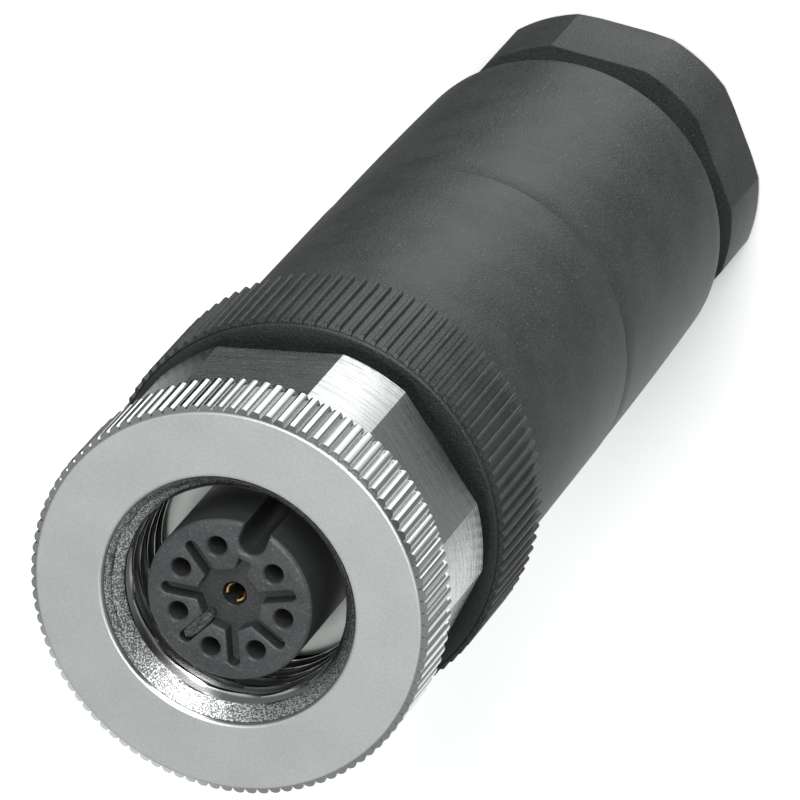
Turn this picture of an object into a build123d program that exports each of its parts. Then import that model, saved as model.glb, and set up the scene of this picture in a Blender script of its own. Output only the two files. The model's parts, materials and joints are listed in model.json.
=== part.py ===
from build123d import *
import os
from math import cos, pi, radians, sin

# Eight-way M12 cable socket with a knurled coupling nut, a field-wired
# terminal block and a screwed cable clamp. Millimetres, axis along Z, standing
# on the flat end of the pressure screw with the socket face upwards.

os.makedirs("parts", exist_ok=True)

# Stations along the axis, measured up from the resting face
overall_length = 57.5
nut_length = 9.5
knurl_length = 3.7
nut_to_ring_gap = 1.3
ring_length = 6.1
sleeve_length = 33.2
head_length = 4.8
seam_gap = 0.05
nut_rear_z = overall_length - nut_length
knurl_rear_z = overall_length - knurl_length
ring_front_z = nut_rear_z - nut_to_ring_gap
ring_rear_z = ring_front_z - ring_length
sleeve_rear_z = ring_rear_z - sleeve_length

# Keyway points along -Y, and the two hexagons stand as the photograph shows
key_angle = -90.0
nut_lag = 5.3
screw_lag = 18.1
nut_turn = key_angle - nut_lag
screw_turn = key_angle - screw_lag

# Coupling nut, outside
tooth_count = 100
knurl_tip_r = 9.95
knurl_root_r = 9.65
face_rim_r = 9.6
knurl_chamfer = 0.5
nut_across_flats = 18.0
nut_corner_r = 9.55

# Coupling nut, inside: M12 thread at its minor radius, relief and inner shoulder
mouth_r = 6.44
thread_minor_r = 5.46
thread_length = 5.4
relief_r = 6.1
shoulder_r = 5.15
shoulder_length = 2.0
mouth_length = mouth_r - thread_minor_r
thread_end_z = overall_length - mouth_length - thread_length
shoulder_top_z = nut_rear_z + shoulder_length

# Contact carrier with its ribbed grip ring
rib_tip_r = 10.1
rib_root_r = 9.88
rib_tip_width = 0.2
rib_foot_width = 0.3
rib_sink = 0.02
ring_chamfer = 0.35
flange_r = 8.3
flange_clearance = 0.2
collar_r = 5.05
collar_rise = 0.05
spigot_r = 7.8
spigot_length = 6.7
seal_groove_r = 6.85
seal_groove_width = 1.1
counterbore_r = 5.8
counterbore_depth = 12.0
collar_top_z = shoulder_top_z + collar_rise
counterbore_z = overall_length - counterbore_depth
seal_groove_z = ring_rear_z - seal_groove_width
spigot_end_z = ring_rear_z - spigot_length
rib_valley_width = 2 * pi * rib_root_r / tooth_count - rib_foot_width

# Retaining ring that keeps the nut on the carrier
retainer_thickness = 0.35
retainer_inner_r = 3.8
retainer_outer_r = 5.8
retainer_gap = 3.0
retainer_lift = 0.1
retainer_slack = 0.1
retainer_z = shoulder_top_z + retainer_lift

# Contact insert
insert_r = 3.92
nose_r = 4.13
retainer_groove_r = 3.75
insert_recess = 0.2
insert_edge = 0.15
insert_seat_r = 5.75
insert_step_r = 4.7
insert_fit = 0.02
keyway_width = 1.3
keyway_floor_r = 2.67
key_arm_end_r = 2.3
pocket_depth = 0.6
pocket_flat_r = 1.5
arm_width = 0.66
arm_end_r = 3.4
way_count = 8
way_circle_r = 2.75
way_step = 49.0
way_r = 0.6
way_recess = 2.1
centre_way_recess = 1.0
insert_face_z = overall_length - insert_recess

# Contacts: a long round socket in front and a square box terminal behind
contact_fit = 0.03
socket_r = way_r - contact_fit
socket_bore_r = 0.42
socket_bore_depth = 7.5
box_width = 1.5
box_front_z = 36.5
box_length = 7.6
wire_hole_width = 0.9
wire_hole_depth = 6.0
box_rear_z = box_front_z - box_length

# Terminal block behind the insert
block_r = 5.75
block_rear_z = 28.5
boss_r = 2.5
boss_length = 3.6
boss_rear_z = block_rear_z - boss_length
screw_row_z = 31.0
centre_screw_z = 26.6

# Terminal screws, slotted and set across the box terminals
terminal_screw_r = 0.75
terminal_screw_fit = 0.04
terminal_slot_width = 0.3
terminal_slot_depth = 0.4
terminal_sink = 0.15

# Sealing rings
seal_section = 0.95
seal_side_play = 0.05

# Sleeve
sleeve_front_r = 9.06
sleeve_crease_r = 8.93
sleeve_crease_z = overall_length - 33.7
sleeve_mid_r = 8.83
sleeve_mid_z = 15.0
sleeve_end_r = 8.65
sleeve_edge = 0.35
sleeve_thread_fit = 0.08
sleeve_thread_r = spigot_r + sleeve_thread_fit
sleeve_thread_length = 5.4
sleeve_seal_bore_r = 8.15
sleeve_seal_bore_length = 1.6
sleeve_cavity_r = 7.5
sleeve_ledge_r = 4.7
sleeve_ledge_length = 1.4
sleeve_funnel = 1.6

# Cable seal and its seat in the sleeve
cable_seal_r = 6.5
cable_seal_bore_r = 4.0
cable_seal_length = 4.5
cable_seal_bevel = 0.9
cable_seal_fit = 0.1
cable_seal_front_z = 22.0
cable_seal_rear_z = cable_seal_front_z - cable_seal_length
seat_bore_r = cable_seal_r + cable_seal_fit

# Pressure screw
head_across_flats = 16.0
head_corner_r = 8.4
head_edge = 0.35
neck_r = 7.0
neck_fit = 0.08
neck_length = 8.8
neck_runout_r = 6.6
neck_runout_length = 1.2
neck_bore_r = 5.8
cable_entry_r = 4.5
cable_flare = 0.9
cone_bottom_z = 5.6
cone_top_z = cone_bottom_z + neck_bore_r - cable_entry_r
neck_front_z = head_length + neck_length
neck_travel = 2.4

# Clamp cage with sprung fingers
cage_ring_r = 6.35
cage_ring_length = 1.5
cage_clearance = 0.3
cage_bore_r = 4.7
finger_r = 5.55
finger_count = 8
finger_slot_width = 0.9
finger_chamfer = 0.5
finger_clearance = 0.35
finger_tip_z = cone_top_z + finger_clearance
cage_ring_rear_z = neck_front_z + cage_clearance
cage_front_z = cage_ring_rear_z + cage_ring_length


def toothed_outline(tip_r, root_r, tip_width, root_width):
    """Points round a ring of equal teeth, where a width of nothing makes a point."""
    half_pitch = pi / tooth_count
    points = []
    for tooth in range(tooth_count):
        middle = 2 * tooth * half_pitch
        for radius, centre, width in ((tip_r, middle, tip_width), (root_r, middle + half_pitch, root_width)):
            half = width / 2 / radius
            for angle in sorted({centre - half, centre + half}):
                points.append((radius * cos(angle), radius * sin(angle)))
    return points


def on_circle(radius, angle):
    """Place at an angle in degrees on a circle about the axis."""
    return (radius * cos(radians(angle)), radius * sin(radians(angle)))


# Seven ways lie on a circle with the keyway in the wider gap, and the eighth is central
way_angles = [key_angle + 180 + way_step * step for step in range(-3, 4)]
way_places = [on_circle(way_circle_r, angle) for angle in way_angles] + [(0, 0)]
arm_angles = [angle + way_step / 2 for angle in way_angles[:-1]]
box_angles = way_angles + [key_angle]
screw_seats = [(way_circle_r, screw_row_z, angle) for angle in way_angles]
screw_seats.append((0, centre_screw_z, key_angle))


def sealing_ring(label, inner_r, bottom_z):
    """Square-section rubber ring about the axis."""
    with BuildPart() as ring:
        with BuildSketch(Plane.XY.offset(bottom_z)):
            Circle(inner_r + seal_section)
            Circle(inner_r, mode=Mode.SUBTRACT)
        extrude(amount=seal_section)
    ring.part.label = label
    export_step(ring.part, f"parts/{label}.step")


# Coupling nut: knurled band, hexagon with turned corners, and a stepped bore
with BuildPart() as coupling_nut:
    with BuildSketch(Plane.XY.offset(knurl_rear_z)):
        with BuildLine():
            Polyline(*toothed_outline(knurl_tip_r, knurl_root_r, 0, 0), close=True)
        make_face()
    extrude(amount=knurl_length)
    with BuildSketch(Plane.XZ):
        with BuildLine():
            Polyline(
                (face_rim_r, overall_length),
                (knurl_tip_r + knurl_chamfer, overall_length),
                (knurl_tip_r + knurl_chamfer, overall_length - 2 * knurl_chamfer),
                (knurl_tip_r, overall_length - knurl_chamfer),
                close=True,
            )
        make_face()
    revolve(axis=Axis.Z, mode=Mode.SUBTRACT)
    with BuildSketch(Plane.XY.offset(nut_rear_z)):
        RegularPolygon(nut_across_flats / 2, 6, major_radius=False, rotation=nut_turn)
        Circle(nut_corner_r, mode=Mode.INTERSECT)
    extrude(amount=nut_length - knurl_length)
    with BuildSketch(Plane.XZ):
        with BuildLine():
            Polyline(
                (0, nut_rear_z),
                (shoulder_r, nut_rear_z),
                (shoulder_r, shoulder_top_z),
                (relief_r, shoulder_top_z),
                (relief_r, thread_end_z),
                (thread_minor_r, thread_end_z),
                (thread_minor_r, overall_length - mouth_length),
                (mouth_r, overall_length),
                (0, overall_length),
                close=True,
            )
        make_face()
    revolve(axis=Axis.Z, mode=Mode.SUBTRACT)
coupling_nut.part.label = "coupling_nut"
export_step(coupling_nut.part, "parts/coupling_nut.step")

# Contact carrier: ribbed grip ring, collar that the nut turns on, and rear spigot
with BuildPart() as contact_carrier:
    with BuildSketch(Plane.XY.offset(ring_rear_z)):
        with BuildLine():
            Polyline(*toothed_outline(rib_tip_r, rib_root_r, rib_tip_width, rib_valley_width), close=True)
        make_face()
    extrude(amount=ring_length - ring_chamfer)
    with BuildSketch(Plane.XZ):
        with BuildLine():
            Polyline(
                (0, spigot_end_z),
                (spigot_r, spigot_end_z),
                (spigot_r, seal_groove_z),
                (seal_groove_r, seal_groove_z),
                (seal_groove_r, ring_rear_z),
                (rib_root_r - rib_sink, ring_rear_z),
                (rib_root_r - rib_sink, ring_front_z - ring_chamfer),
                (rib_root_r - ring_chamfer, ring_front_z),
                (flange_r, ring_front_z),
                (flange_r, nut_rear_z - flange_clearance),
                (collar_r, nut_rear_z - flange_clearance),
                (collar_r, collar_top_z),
                (0, collar_top_z),
                close=True,
            )
        make_face()
    revolve(axis=Axis.Z)
    with BuildSketch(Plane.XZ):
        with BuildLine():
            Polyline(
                (0, spigot_end_z),
                (counterbore_r, spigot_end_z),
                (counterbore_r, counterbore_z),
                (insert_r, counterbore_z),
                (insert_r, collar_top_z),
                (0, collar_top_z),
                close=True,
            )
        make_face()
    revolve(axis=Axis.Z, mode=Mode.SUBTRACT)
contact_carrier.part.label = "contact_carrier"
export_step(contact_carrier.part, "parts/contact_carrier.step")

# Retaining ring: a flat spring ring with a gap
with BuildPart() as nut_retaining_ring:
    with BuildSketch(Plane.XY.offset(retainer_z)):
        Circle(retainer_outer_r)
        Circle(retainer_inner_r, mode=Mode.SUBTRACT)
        with Locations((0, retainer_outer_r)):
            Rectangle(retainer_gap, 2 * retainer_outer_r, mode=Mode.SUBTRACT)
    extrude(amount=retainer_thickness)
nut_retaining_ring.part.label = "nut_retaining_ring"
export_step(nut_retaining_ring.part, "parts/nut_retaining_ring.step")

# Contact insert: keyed nose with eight ways round a star-shaped pocket
nose_foot_z = retainer_z + retainer_thickness + retainer_slack
insert_seal_z = counterbore_z - seal_side_play - seal_section
insert_step_z = insert_seal_z - seal_side_play
with BuildPart() as contact_insert:
    with BuildSketch(Plane.XZ):
        with BuildLine():
            Polyline(
                (0, box_front_z),
                (insert_seat_r, box_front_z),
                (insert_seat_r, insert_step_z),
                (insert_step_r, insert_step_z),
                (insert_step_r, counterbore_z),
                (insert_r - insert_fit, counterbore_z),
                (insert_r - insert_fit, collar_top_z),
                (retainer_groove_r, collar_top_z),
                (retainer_groove_r, nose_foot_z),
                (nose_r, nose_foot_z),
                (nose_r, insert_face_z - insert_edge),
                (nose_r - insert_edge, insert_face_z),
                (0, insert_face_z),
                close=True,
            )
        make_face()
    revolve(axis=Axis.Z)
    with BuildSketch(Plane.XY.offset(insert_face_z - pocket_depth)):
        RegularPolygon(pocket_flat_r, way_count - 1, major_radius=False, rotation=key_angle)
        with Locations(*[Location((0, 0), angle) for angle in arm_angles]):
            with Locations((arm_end_r / 2, 0)):
                SlotOverall(arm_end_r, arm_width)
        with Locations(Location((0, 0), key_angle)):
            with Locations((key_arm_end_r / 2, 0)):
                Rectangle(key_arm_end_r, arm_width)
    extrude(amount=pocket_depth, mode=Mode.SUBTRACT)
    with BuildSketch(Plane.XY.offset(nose_foot_z)):
        with Locations(Location((0, 0), key_angle)):
            with Locations((keyway_floor_r + nose_r / 2, 0)):
                SlotOverall(nose_r, keyway_width)
    extrude(amount=insert_face_z - nose_foot_z, mode=Mode.SUBTRACT)
    with BuildSketch(Plane.XY.offset(box_front_z)):
        with Locations(*way_places):
            Circle(way_r)
    extrude(amount=insert_face_z - box_front_z, mode=Mode.SUBTRACT)
contact_insert.part.label = "contact_insert"
export_step(contact_insert.part, "parts/contact_insert.step")

# Terminal block: carries the box terminals and their radial screws
screw_hole_r = terminal_screw_r + terminal_screw_fit
box_hole_width = box_width + 2 * contact_fit
with BuildPart() as terminal_block:
    with BuildSketch(Plane.XY.offset(block_rear_z)):
        Circle(block_r)
    extrude(amount=box_front_z - block_rear_z)
    with BuildSketch(Plane.XY.offset(boss_rear_z)):
        Circle(boss_r)
    extrude(amount=boss_length)
    with BuildSketch(Plane.XY.offset(boss_rear_z)):
        for place, angle in zip(way_places, box_angles):
            with Locations(place):
                Rectangle(box_hole_width, box_hole_width, rotation=angle)
    extrude(amount=box_front_z - boss_rear_z, mode=Mode.SUBTRACT)
    for start_r, screw_z, angle in screw_seats:
        across = Plane(origin=(0, 0, screw_z), z_dir=(*on_circle(1, angle), 0))
        with BuildSketch(across.offset(start_r)):
            Circle(screw_hole_r)
        extrude(amount=block_r, mode=Mode.SUBTRACT)
terminal_block.part.label = "terminal_block"
export_step(terminal_block.part, "parts/terminal_block.step")

# Eight contacts, the last one central with a longer terminal for the rear boss
for number, (place, angle) in enumerate(zip(way_places, box_angles), start=1):
    central = number == way_count
    rear_z = boss_rear_z if central else box_rear_z
    socket_top_z = insert_face_z - (centre_way_recess if central else way_recess)
    with BuildPart() as contact:
        with BuildSketch(Plane(origin=(*place, rear_z))):
            Rectangle(box_width, box_width, rotation=angle)
        extrude(amount=box_front_z - rear_z)
        with BuildSketch(Plane(origin=(*place, box_front_z))):
            Circle(socket_r)
        extrude(amount=socket_top_z - box_front_z)
        with BuildSketch(Plane(origin=(*place, socket_top_z - socket_bore_depth))):
            Circle(socket_bore_r)
        extrude(amount=socket_bore_depth, mode=Mode.SUBTRACT)
        with BuildSketch(Plane(origin=(*place, rear_z))):
            Rectangle(wire_hole_width, wire_hole_width, rotation=angle)
        extrude(amount=wire_hole_depth, mode=Mode.SUBTRACT)
    contact.part.label = f"contact_{number}"
    export_step(contact.part, f"parts/contact_{number}.step")

# Terminal screws: eight slotted screws that clamp the wires in the box terminals
with BuildPart() as terminal_screws:
    for start_r, screw_z, angle in screw_seats:
        surface_r = block_r if start_r > 0 else boss_r
        body_start = start_r + box_width / 2
        head_r = surface_r - terminal_sink
        across = Plane(
            origin=(0, 0, screw_z), x_dir=(*on_circle(1, angle + 90), 0), z_dir=(*on_circle(1, angle), 0)
        )
        with BuildSketch(across.offset(body_start)):
            Circle(terminal_screw_r)
        extrude(amount=head_r - body_start)
        with BuildSketch(across.offset(head_r)):
            Rectangle(terminal_slot_width, 3 * terminal_screw_r)
        extrude(amount=-terminal_slot_depth, mode=Mode.SUBTRACT)
terminal_screws.part.label = "terminal_screws"
export_step(terminal_screws.part, "parts/terminal_screws.step")

# Sealing rings: one on the insert's step, one in the spigot's groove
sealing_ring("insert_seal", insert_step_r, insert_seal_z)
sealing_ring("sleeve_seal", seal_groove_r, seal_groove_z + seal_side_play)

# Sleeve: tapered hollow shell, threaded at both ends, with a ledge for the cable seal
sleeve_front_z = ring_rear_z - seam_gap
sleeve_thread_top_z = sleeve_front_z - sleeve_seal_bore_length
sleeve_thread_end_z = sleeve_thread_top_z - sleeve_thread_length
ledge_top_z = cable_seal_front_z + sleeve_ledge_length
screw_thread_r = neck_r + neck_fit
screw_thread_top_z = neck_front_z + neck_travel
with BuildPart() as sleeve:
    with BuildSketch(Plane.XZ):
        with BuildLine():
            Polyline(
                (sleeve_end_r - sleeve_edge, sleeve_rear_z),
                (screw_thread_r, sleeve_rear_z),
                (screw_thread_r, screw_thread_top_z),
                (seat_bore_r, screw_thread_top_z),
                (seat_bore_r, cable_seal_front_z),
                (sleeve_ledge_r, cable_seal_front_z),
                (sleeve_ledge_r, ledge_top_z),
                (sleeve_cavity_r, ledge_top_z + sleeve_funnel),
                (sleeve_cavity_r, sleeve_thread_end_z),
                (sleeve_thread_r, sleeve_thread_end_z),
                (sleeve_thread_r, sleeve_thread_top_z),
                (sleeve_seal_bore_r, sleeve_thread_top_z + sleeve_seal_bore_r - sleeve_thread_r),
                (sleeve_seal_bore_r, sleeve_front_z),
                (sleeve_front_r, sleeve_front_z),
                (sleeve_crease_r, sleeve_crease_z),
                (sleeve_mid_r, sleeve_mid_z),
                (sleeve_end_r, sleeve_rear_z + sleeve_edge),
                close=True,
            )
        make_face()
    revolve(axis=Axis.Z)
sleeve.part.label = "sleeve"
export_step(sleeve.part, "parts/sleeve.step")

# Cable seal: rubber grommet with a bevelled rear end
with BuildPart() as cable_seal:
    with BuildSketch(Plane.XZ):
        with BuildLine():
            Polyline(
                (cable_seal_bore_r, cable_seal_rear_z),
                (cable_seal_r - cable_seal_bevel, cable_seal_rear_z),
                (cable_seal_r, cable_seal_rear_z + cable_seal_bevel),
                (cable_seal_r, cable_seal_front_z),
                (cable_seal_bore_r, cable_seal_front_z),
                close=True,
            )
        make_face()
    revolve(axis=Axis.Z)
cable_seal.part.label = "cable_seal"
export_step(cable_seal.part, "parts/cable_seal.step")

# Clamp cage: a collar with a crown of fingers that the pressure screw bends inwards
with BuildPart() as clamp_cage:
    with BuildSketch(Plane.XZ):
        with BuildLine():
            Polyline(
                (cage_bore_r, finger_tip_z),
                (finger_r - finger_chamfer, finger_tip_z),
                (finger_r, finger_tip_z + finger_chamfer),
                (finger_r, cage_ring_rear_z),
                (cage_ring_r, cage_ring_rear_z),
                (cage_ring_r, cage_front_z),
                (cage_bore_r, cage_front_z),
                close=True,
            )
        make_face()
    revolve(axis=Axis.Z)
    with BuildSketch(Plane.XY.offset(finger_tip_z)):
        with PolarLocations(cage_bore_r, finger_count):
            Rectangle(cage_ring_r, finger_slot_width)
    extrude(amount=cage_ring_rear_z - finger_tip_z, mode=Mode.SUBTRACT)
clamp_cage.part.label = "clamp_cage"
export_step(clamp_cage.part, "parts/clamp_cage.step")

# Pressure screw: hexagon head with a flared cable entry, and a hollow threaded neck
with BuildPart() as pressure_screw:
    with BuildSketch(Plane.XY):
        RegularPolygon(head_across_flats / 2, 6, major_radius=False, rotation=screw_turn)
        Circle(head_corner_r, mode=Mode.INTERSECT)
    extrude(amount=head_length)
    with BuildSketch(Plane.XZ):
        with BuildLine():
            Polyline(
                (head_corner_r - head_edge, 0),
                (head_corner_r + head_edge, 0),
                (head_corner_r + head_edge, 2 * head_edge),
                close=True,
            )
        make_face()
    revolve(axis=Axis.Z, mode=Mode.SUBTRACT)
    with BuildSketch(Plane.XZ):
        with BuildLine():
            Polyline(
                (0, head_length),
                (neck_runout_r, head_length),
                (neck_runout_r, head_length + neck_runout_length),
                (neck_r, head_length + neck_runout_length + neck_r - neck_runout_r),
                (neck_r, neck_front_z),
                (0, neck_front_z),
                close=True,
            )
        make_face()
    revolve(axis=Axis.Z)
    with BuildSketch(Plane.XZ):
        with BuildLine():
            Polyline(
                (cable_entry_r + cable_flare, 0),
                (cable_entry_r, cable_flare),
                (cable_entry_r, cone_bottom_z),
                (neck_bore_r, cone_top_z),
                (neck_bore_r, neck_front_z),
                (0, neck_front_z),
                (0, 0),
                close=True,
            )
        make_face()
    revolve(axis=Axis.Z, mode=Mode.SUBTRACT)
pressure_screw.part.label = "pressure_screw"
export_step(pressure_screw.part, "parts/pressure_screw.step")
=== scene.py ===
"""Looks of an eight-way M12 cable socket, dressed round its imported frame.

Sizes in the classes are millimetres in the frame of the solids: the axis is Z, the socket face is up and the
keyway points along -Y. A mesh is written in metres.
"""

import json
import logging
from collections.abc import Callable
from dataclasses import dataclass, field
from enum import Enum

import bmesh
import bpy
import numpy as np
from mathutils import Matrix, Vector
from mathutils.geometry import tessellate_polygon

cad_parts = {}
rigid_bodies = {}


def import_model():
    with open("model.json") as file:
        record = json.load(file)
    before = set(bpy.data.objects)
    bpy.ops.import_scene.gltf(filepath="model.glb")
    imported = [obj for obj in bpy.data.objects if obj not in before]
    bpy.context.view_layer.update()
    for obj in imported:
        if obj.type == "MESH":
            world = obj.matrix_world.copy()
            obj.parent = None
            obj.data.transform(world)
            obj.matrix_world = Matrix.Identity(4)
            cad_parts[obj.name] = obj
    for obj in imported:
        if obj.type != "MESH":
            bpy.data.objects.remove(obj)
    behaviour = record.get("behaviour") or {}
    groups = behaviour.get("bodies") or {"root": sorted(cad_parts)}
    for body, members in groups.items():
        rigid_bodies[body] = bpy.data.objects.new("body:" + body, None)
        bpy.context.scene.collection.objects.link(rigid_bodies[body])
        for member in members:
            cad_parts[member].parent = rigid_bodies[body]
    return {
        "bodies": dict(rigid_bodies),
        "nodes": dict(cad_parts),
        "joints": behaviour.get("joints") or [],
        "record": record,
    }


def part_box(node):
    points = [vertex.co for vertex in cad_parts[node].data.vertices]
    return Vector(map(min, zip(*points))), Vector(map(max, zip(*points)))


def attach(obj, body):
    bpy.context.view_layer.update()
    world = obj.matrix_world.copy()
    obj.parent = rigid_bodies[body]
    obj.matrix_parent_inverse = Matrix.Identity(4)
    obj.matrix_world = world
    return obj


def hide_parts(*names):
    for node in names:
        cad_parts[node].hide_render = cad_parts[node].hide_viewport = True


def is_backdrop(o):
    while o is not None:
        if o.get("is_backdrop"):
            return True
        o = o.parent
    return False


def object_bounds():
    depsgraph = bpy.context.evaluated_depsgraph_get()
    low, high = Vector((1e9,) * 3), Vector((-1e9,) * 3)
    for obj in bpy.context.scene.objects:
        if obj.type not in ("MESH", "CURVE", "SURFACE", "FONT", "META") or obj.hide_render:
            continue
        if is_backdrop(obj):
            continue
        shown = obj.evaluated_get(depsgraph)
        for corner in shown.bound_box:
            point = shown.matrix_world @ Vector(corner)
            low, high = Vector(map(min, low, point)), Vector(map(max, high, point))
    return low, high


METRES_PER_MM = 0.001
MM_PER_METRE = 1000.0
FULL_TURN = 2 * np.pi
EASE_STEPS = 4
WELD_MM = 0.0005
SLIVER_MM = 0.00005
SAME_ANGLE = 1e-4
MIX_LOW, MIX_HIGH, MIX_OUT = 6, 7, 2
KEY_ANGLE = np.radians(-90.0)

log = logging.getLogger("m12_socket")

Array = np.ndarray
Pair = tuple[float, float]
Piece = bpy.types.Object


class Body(Enum):
    """Moving bodies of the frame."""

    CARRIER = "carrier"
    NUT = "coupling_nut"
    SLEEVE = "sleeve"
    SCREW = "pressure_screw"


class Slot(Enum):
    """Material slots of the record that pieces take their finish from."""

    NICKEL = "nickel_brass"
    BLACK = "black_plastic"
    INSERT = "insert_plastic"
    CAGE = "cage_plastic"
    GOLD = "gold_brass"
    SPRING = "spring_steel"
    ZINC = "zinc_steel"
    RUBBER = "seal_rubber"


def from_key(degrees: float) -> float:
    """Angle about the axis in radians, for an angle in degrees counted from the keyway."""
    return KEY_ANGLE + np.radians(degrees)


def polar(radius: Array, angle: Array) -> Array:
    """Points in the plane across the axis, as an array whose last dimension is x and y."""
    return np.stack(np.broadcast_arrays(radius * np.cos(angle), radius * np.sin(angle)), -1)


def turned(points: Array, angle: float) -> Array:
    """Points of the plane turned about the axis."""
    return points @ np.array([[np.cos(angle), np.sin(angle)], [-np.sin(angle), np.cos(angle)]])


def write_mesh(name: str, points: Array, faces: list, crease: float, weld: bool = False) -> Piece:
    """Put points and faces into a new object at the origin.

    Args:
        name: Name of the object and its mesh.
        points: Array of shape (n, 3) in millimetres.
        faces: Lists of point indices.
        crease: Angle in degrees above which an edge stays sharp.
        weld: Whether patches are joined where their points meet, and turned outwards.

    Returns:
        The new object, linked to the scene.
    """
    mesh = bpy.data.meshes.new(name)
    mesh.from_pydata((points * METRES_PER_MM).tolist(), [], faces)
    if weld:
        draft = bmesh.new()
        draft.from_mesh(mesh)
        bmesh.ops.remove_doubles(draft, verts=draft.verts, dist=WELD_MM * METRES_PER_MM)
        bmesh.ops.dissolve_degenerate(draft, edges=draft.edges, dist=SLIVER_MM * METRES_PER_MM)
        bmesh.ops.recalc_face_normals(draft, faces=draft.faces)
        draft.to_mesh(mesh)
        draft.free()
    mesh.polygons.foreach_set("use_smooth", np.ones(len(mesh.polygons), bool))
    mesh.set_sharp_from_angle(angle=np.radians(crease))
    mesh.update()
    piece = bpy.data.objects.new(name, mesh)
    bpy.context.scene.collection.objects.link(piece)
    log.info("%s: %d points, %d faces", name, len(mesh.vertices), len(mesh.polygons))
    return piece


def grid_faces(rows: int, columns: int, closed_rows: bool) -> Array:
    """Four-sided faces of a grid that wraps round along its columns, and along its rows if closed."""
    row = np.arange(rows if closed_rows else rows - 1)[:, None]
    column = np.arange(columns)[None, :]
    near = row * columns
    far = (row + 1) % rows * columns
    beside = (column + 1) % columns
    corners = [near + column, near + beside, far + beside, far + column]
    return np.stack(np.broadcast_arrays(*corners), -1).reshape(-1, 4)


class TurnedShell:
    """Profile carried once round the axis, whose stations may vary with the angle.

    Point (i, j) of the surface stands at radius r_i(a_j) from the axis and at height z_i(a_j), at the angle
    a_j. A station with an ease is replaced by a short curve that starts and ends that far from it.
    """

    def __init__(self, angles: Array) -> None:
        """Start a profile for an ascending array of angles in radians."""
        self.angles = angles
        self.stations: list[Array] = []
        self.eases: list[float] = []

    def to(self, radius: Array | float, height: Array | float, ease: float = 0.0) -> None:
        """Add one station."""
        flat = np.zeros_like(self.angles)
        self.stations.append(np.stack([radius + flat, height + flat], -1))
        self.eases.append(ease)

    def through(self, *stations: tuple) -> None:
        """Add several stations, each a radius, a height and, where its corner is eased, the ease."""
        for station in stations:
            self.to(*station)

    def rows(self, closed: bool) -> Array:
        """Stations with their corners eased, as an array of shape (rows, angles, 2).

        An eased corner C is the curve (1-s)^2 A + 2 s (1-s) C + s^2 B, with A and B on the runs beside it.
        """
        done = []
        count = len(self.stations)
        share = np.linspace(0.0, 1.0, EASE_STEPS)[:, None, None]
        for index, (corner, ease) in enumerate(zip(self.stations, self.eases)):
            inner = closed or 0 < index < count - 1
            if not ease or not inner:
                done.append(corner[None])
                continue
            ends = []
            for neighbour in (self.stations[index - 1], self.stations[(index + 1) % count]):
                run = neighbour - corner
                ends.append(corner + run * ease / np.linalg.norm(run, axis=-1, keepdims=True))
            done.append((1 - share) ** 2 * ends[0] + 2 * share * (1 - share) * corner + share**2 * ends[1])
        return np.concatenate(done)

    def build(self, name: str, crease: float, closed: bool = True, centre: Pair = (0.0, 0.0)) -> Piece:
        """Make the object, with its faces pointing outwards.

        Args:
            name: Name of the object.
            crease: Angle in degrees above which an edge stays sharp.
            closed: Whether the profile is a loop, or else starts and ends on its axis.
            centre: Place of the axis, in millimetres.

        Returns:
            The new object.
        """
        rows = self.rows(closed)
        flat = polar(rows[..., 0], self.angles) + np.array(centre)
        points = np.concatenate([flat, rows[..., 1:]], -1).reshape(-1, 3)
        faces = grid_faces(len(rows), len(self.angles), closed)
        a, b, c, d = (points[faces[:, k]] for k in range(4))
        volume = np.sum(np.cross(a, b) * c) + np.sum(np.cross(a, c) * d)
        if volume < 0:
            faces = faces[:, ::-1]
        return write_mesh(name, points, faces.tolist(), crease, weld=not closed)


@dataclass(frozen=True)
class Thread:
    """Right-hand thread, whose ridge climbs one pitch in one turn."""

    crest_r: float
    root_r: float
    pitch: float = 1.0
    step: float = 0.09
    steepness: float = 1.5
    root_cut: float = 0.25

    def radius(self, angle: Array, height: float) -> Array:
        """Radius at each angle for one height: a triangle wave along the axis with flat crest and root."""
        phase = (height / self.pitch - angle / FULL_TURN) % 1.0
        ridge = np.clip(self.steepness * (1 - np.abs(2 * phase - 1)) - self.root_cut, 0.0, 1.0)
        return self.root_r + (self.crest_r - self.root_r) * ridge

    def cut(self, shell: TurnedShell, start: float, end: float) -> None:
        """Add the thread's stations to a shell, from one height to another."""
        for height in np.linspace(start, end, round(abs(end - start) / self.step) + 1):
            shell.to(self.radius(shell.angles, height), height)


@dataclass(frozen=True)
class Hexagon:
    """Hexagon whose corners are turned off to a circle."""

    across_flats: float
    corner_r: float
    turn: float

    def radius(self, angle: Array) -> Array:
        """Distance to the flat, half the width over the cosine from its middle, or to the corner circle."""
        sector = FULL_TURN / 6
        off_middle = (angle - self.turn) % sector - sector / 2
        return np.minimum(self.across_flats / 2 / np.cos(off_middle), self.corner_r)

    def edges(self) -> Array:
        """Angles where the flats meet the turned corners."""
        reach = np.arccos(self.across_flats / 2 / self.corner_r)
        middles = self.turn + (np.arange(6) + 0.5) * FULL_TURN / 6
        return np.concatenate([middles - reach, middles + reach]) % FULL_TURN


@dataclass(frozen=True)
class Teeth:
    """Equal teeth round a band: a radius for each share of the pitch, joined by straight flanks."""

    count: int
    shares: tuple[float, ...]
    radii: tuple[float, ...]

    def angles(self) -> Array:
        """Angles of all the corners of all the teeth."""
        pitch = FULL_TURN / self.count
        return (np.arange(self.count)[:, None] * pitch + np.array(self.shares) * pitch).ravel()

    def radius(self, angle: Array) -> Array:
        """Radius at each angle, by straight interpolation between the corners."""
        share = angle * self.count / FULL_TURN % 1.0
        return np.interp(share, (*self.shares, 1.0), (*self.radii, self.radii[0]))


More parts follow.
